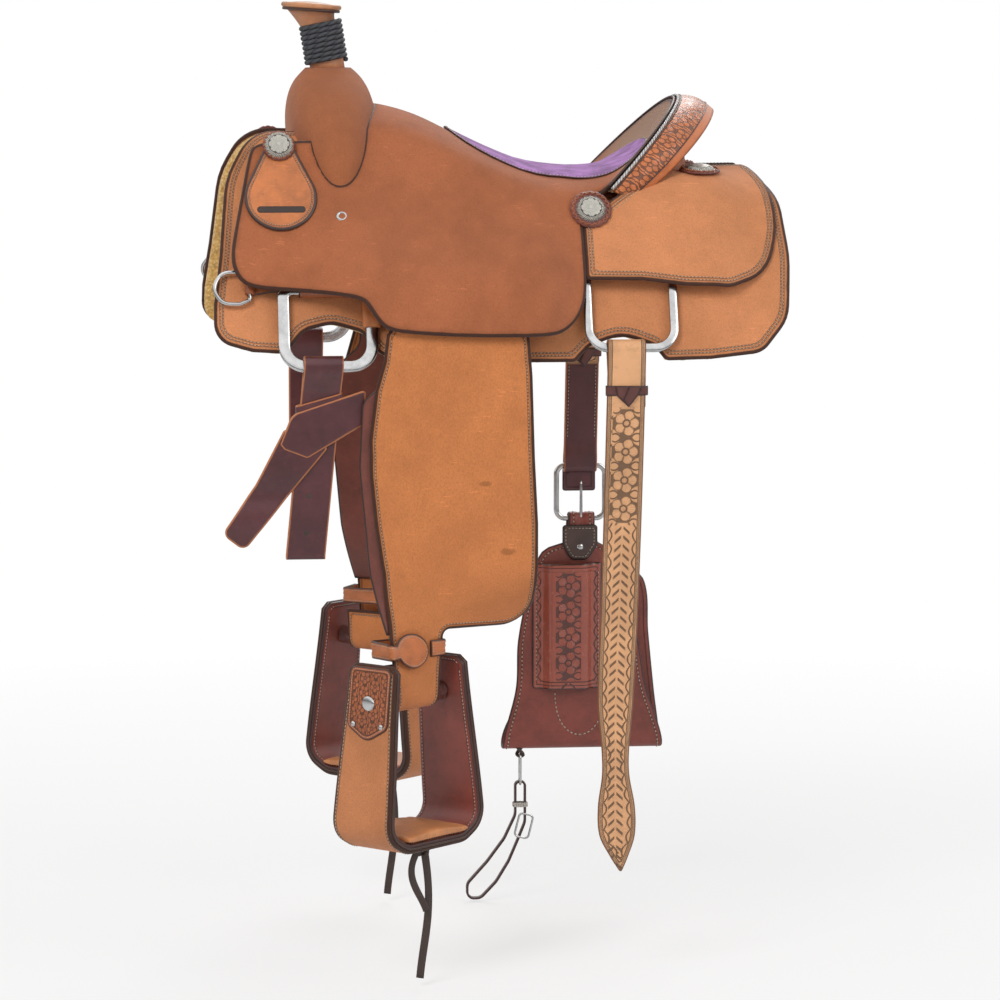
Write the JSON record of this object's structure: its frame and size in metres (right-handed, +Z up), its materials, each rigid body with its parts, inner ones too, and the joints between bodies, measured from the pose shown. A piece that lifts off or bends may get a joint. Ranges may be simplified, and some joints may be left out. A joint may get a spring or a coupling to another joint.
{
  "type": "roping saddle",
  "caption": "Western roping saddle on its tree, with horn, fenders, stirrups, rigging dees, latigo, billets and back cinch, for a rider and for roping cattle.",
  "frame": {"origin": "on the middle plane, between the bars, at the height where they bear on the rack", "axes": "+X to the rear of the saddle, +Z up, the near (left) side at -Y"},
  "size_m": [0.712, 0.68, 1.201],
  "materials": {
    "antique_silver": "antiqued",
    "burgundy_leather": "satin",
    "dark_lace": "matte",
    "dark_leather": "matte",
    "fleece_wool": "wool",
    "horn_leather": "satin",
    "natural_leather": "satin",
    "purple_suede": "suede",
    "rough_out_leather": "suede",
    "smooth_leather": "satin",
    "stainless_steel": "polished",
    "tree_wood": "raw",
    "wrap_cord": "cord"
  },
  "bodies": {
    "saddle": {"skirt_near": "rough_out_leather", "fleece_near": "fleece_wool", "rear_jockey_near": "rough_out_leather", "skirt_off": "rough_out_leather", "fleece_off": "fleece_wool", "rear_jockey_off": "rough_out_leather", "tree_bar_near": "tree_wood", "tree_bar_off": "tree_wood", "tree_fork": "tree_wood", "swell_cover": "rough_out_leather", "seat_leather": "rough_out_leather", "cantle_roll": "smooth_leather", "tree_cantle": "tree_wood", "cantle_back": "smooth_leather", "seat_inlay": "purple_suede", "horn_post": "horn_leather", "horn_cap": "smooth_leather", "horn_wrap": "wrap_cord", "concho_front_near": "antique_silver", "concho_front_off": "antique_silver", "concho_seat_near": "antique_silver", "concho_seat_off": "antique_silver", "concho_rear_near": "antique_silver", "concho_rear_off": "antique_silver", "latigo_carrier_near": "smooth_leather", "latigo_carrier_off": "smooth_leather", "rigging_near": "smooth_leather", "rigging_off": "smooth_leather"},
    "front_dee_near": {"front_dee_near": "stainless_steel"},
    "rear_dee_near": {"rear_dee_near": "stainless_steel"},
    "breast_dee_near": {"breast_dee_near": "stainless_steel"},
    "fender_near": {"fender_near": "rough_out_leather", "stirrup_leather_near": "burgundy_leather", "hobble_strap_near": "smooth_leather"},
    "stirrup_near": {"stirrup_near": "rough_out_leather", "stirrup_bolt_near": "stainless_steel", "stirrup_tread_near": "natural_leather", "stirrup_lace_near": "dark_lace"},
    "front_dee_off": {"front_dee_off": "stainless_steel"},
    "rear_dee_off": {"rear_dee_off": "stainless_steel"},
    "breast_dee_off": {"breast_dee_off": "stainless_steel"},
    "fender_off": {"fender_off": "rough_out_leather", "stirrup_leather_off": "burgundy_leather", "hobble_strap_off": "smooth_leather"},
    "stirrup_off": {"stirrup_off": "rough_out_leather", "stirrup_bolt_off": "stainless_steel", "stirrup_tread_off": "natural_leather", "stirrup_lace_off": "dark_lace"},
    "latigo": {"latigo": "burgundy_leather"},
    "off_billet": {"off_billet": "burgundy_leather"},
    "rear_billet_near": {"rear_billet_near": "natural_leather"},
    "rear_billet_off": {"rear_billet_off": "burgundy_leather"},
    "cinch_buckle": {"cinch_buckle": "stainless_steel", "cinch_buckle_tongue": "stainless_steel"},
    "flank_cinch": {"flank_cinch": "burgundy_leather", "buckle_safe": "dark_leather", "cinch_keeper": "smooth_leather"},
    "snap": {"snap": "stainless_steel"},
    "connector_strap": {"connector_strap": "burgundy_leather"}
  },
  "joints": [
    {"name": "front_dee_near_swing", "type": "hinge", "parent": "saddle", "child": "front_dee_near", "pos_m": [-0.23325, -0.2066, -0.05877], "axis": [-1, 0, 0], "range_deg": [0, 22]},
    {"name": "rear_dee_near_swing", "type": "hinge", "parent": "saddle", "child": "rear_dee_near", "pos_m": [0.138, -0.20172, -0.03903], "axis": [-1, 0, 0], "range_deg": [0, 10]},
    {"name": "breast_dee_near_swing", "type": "hinge", "parent": "saddle", "child": "breast_dee_near", "pos_m": [-0.327, -0.2014, -0.05406], "axis": [0, 0.3741, 0.9274], "range_deg": [0, 20]},
    {"name": "fender_near_swing", "type": "hinge", "parent": "saddle", "child": "fender_near", "pos_m": [-0.112, -0.257, -0.1], "axis": [0, -1, 0], "range_deg": [-25, 14]},
    {"name": "stirrup_near_swing", "type": "hinge", "parent": "fender_near", "child": "stirrup_near", "pos_m": [-0.138, -0.2443, -0.552], "axis": [0.7071, 0.7071, 0], "range_deg": [-20, 20]},
    {"name": "front_dee_off_swing", "type": "hinge", "parent": "saddle", "child": "front_dee_off", "pos_m": [-0.23325, 0.2066, -0.05877], "axis": [1, 0, 0], "range_deg": [0, 22]},
    {"name": "rear_dee_off_swing", "type": "hinge", "parent": "saddle", "child": "rear_dee_off", "pos_m": [0.138, 0.20172, -0.03903], "axis": [1, 0, 0], "range_deg": [0, 10]},
    {"name": "breast_dee_off_swing", "type": "hinge", "parent": "saddle", "child": "breast_dee_off", "pos_m": [-0.327, 0.2014, -0.05406], "axis": [0, 0.3741, -0.9274], "range_deg": [0, 20]},
    {"name": "fender_off_swing", "type": "hinge", "parent": "saddle", "child": "fender_off", "pos_m": [-0.112, 0.257, -0.1], "axis": [0, -1, 0], "range_deg": [-25, 7]},
    {"name": "stirrup_off_swing", "type": "hinge", "parent": "fender_off", "child": "stirrup_off", "pos_m": [-0.138, 0.2443, -0.552], "axis": [0.7071, -0.7071, 0], "range_deg": [-20, 20]},
    {"name": "latigo_swing", "type": "hinge", "parent": "front_dee_near", "child": "latigo", "pos_m": [-0.23325, -0.23801, -0.14744], "axis": [-1, 0, 0], "range_deg": [-35, 30]},
    {"name": "off_billet_swing", "type": "hinge", "parent": "front_dee_off", "child": "off_billet", "pos_m": [-0.23325, 0.23801, -0.14744], "axis": [1, 0, 0], "range_deg": [-35, 30]},
    {"name": "rear_billet_near_swing", "type": "hinge", "parent": "rear_dee_near", "child": "rear_billet_near", "pos_m": [0.138, -0.23678, -0.12785], "axis": [-1, 0, 0], "range_deg": [-12, 30]},
    {"name": "rear_billet_off_swing", "type": "hinge", "parent": "rear_dee_off", "child": "rear_billet_off", "pos_m": [0.138, 0.23678, -0.12785], "axis": [1, 0, 0], "range_deg": [-10, 20]},
    {"name": "cinch_buckle_swing", "type": "hinge", "parent": "rear_billet_off", "child": "cinch_buckle", "pos_m": [0.133, 0.23678, -0.3215], "axis": [1, 0, 0], "range_deg": [-8, 15]},
    {"name": "flank_cinch_swing", "type": "hinge", "parent": "cinch_buckle", "child": "flank_cinch", "pos_m": [0.133, 0.23678, -0.3925], "axis": [1, 0, 0], "range_deg": [-8, 12]},
    {"name": "snap_swing", "type": "hinge", "parent": "flank_cinch", "child": "snap", "pos_m": [0.0525, 0.24233, -0.7105], "axis": [0, 1, 0], "range_deg": [-15, 15]},
    {"name": "connector_strap_swing", "type": "hinge", "parent": "snap", "child": "connector_strap", "pos_m": [0.0525, 0.24233, -0.7525], "axis": [0, 1, 0], "range_deg": [-10, 20]}
  ]
}
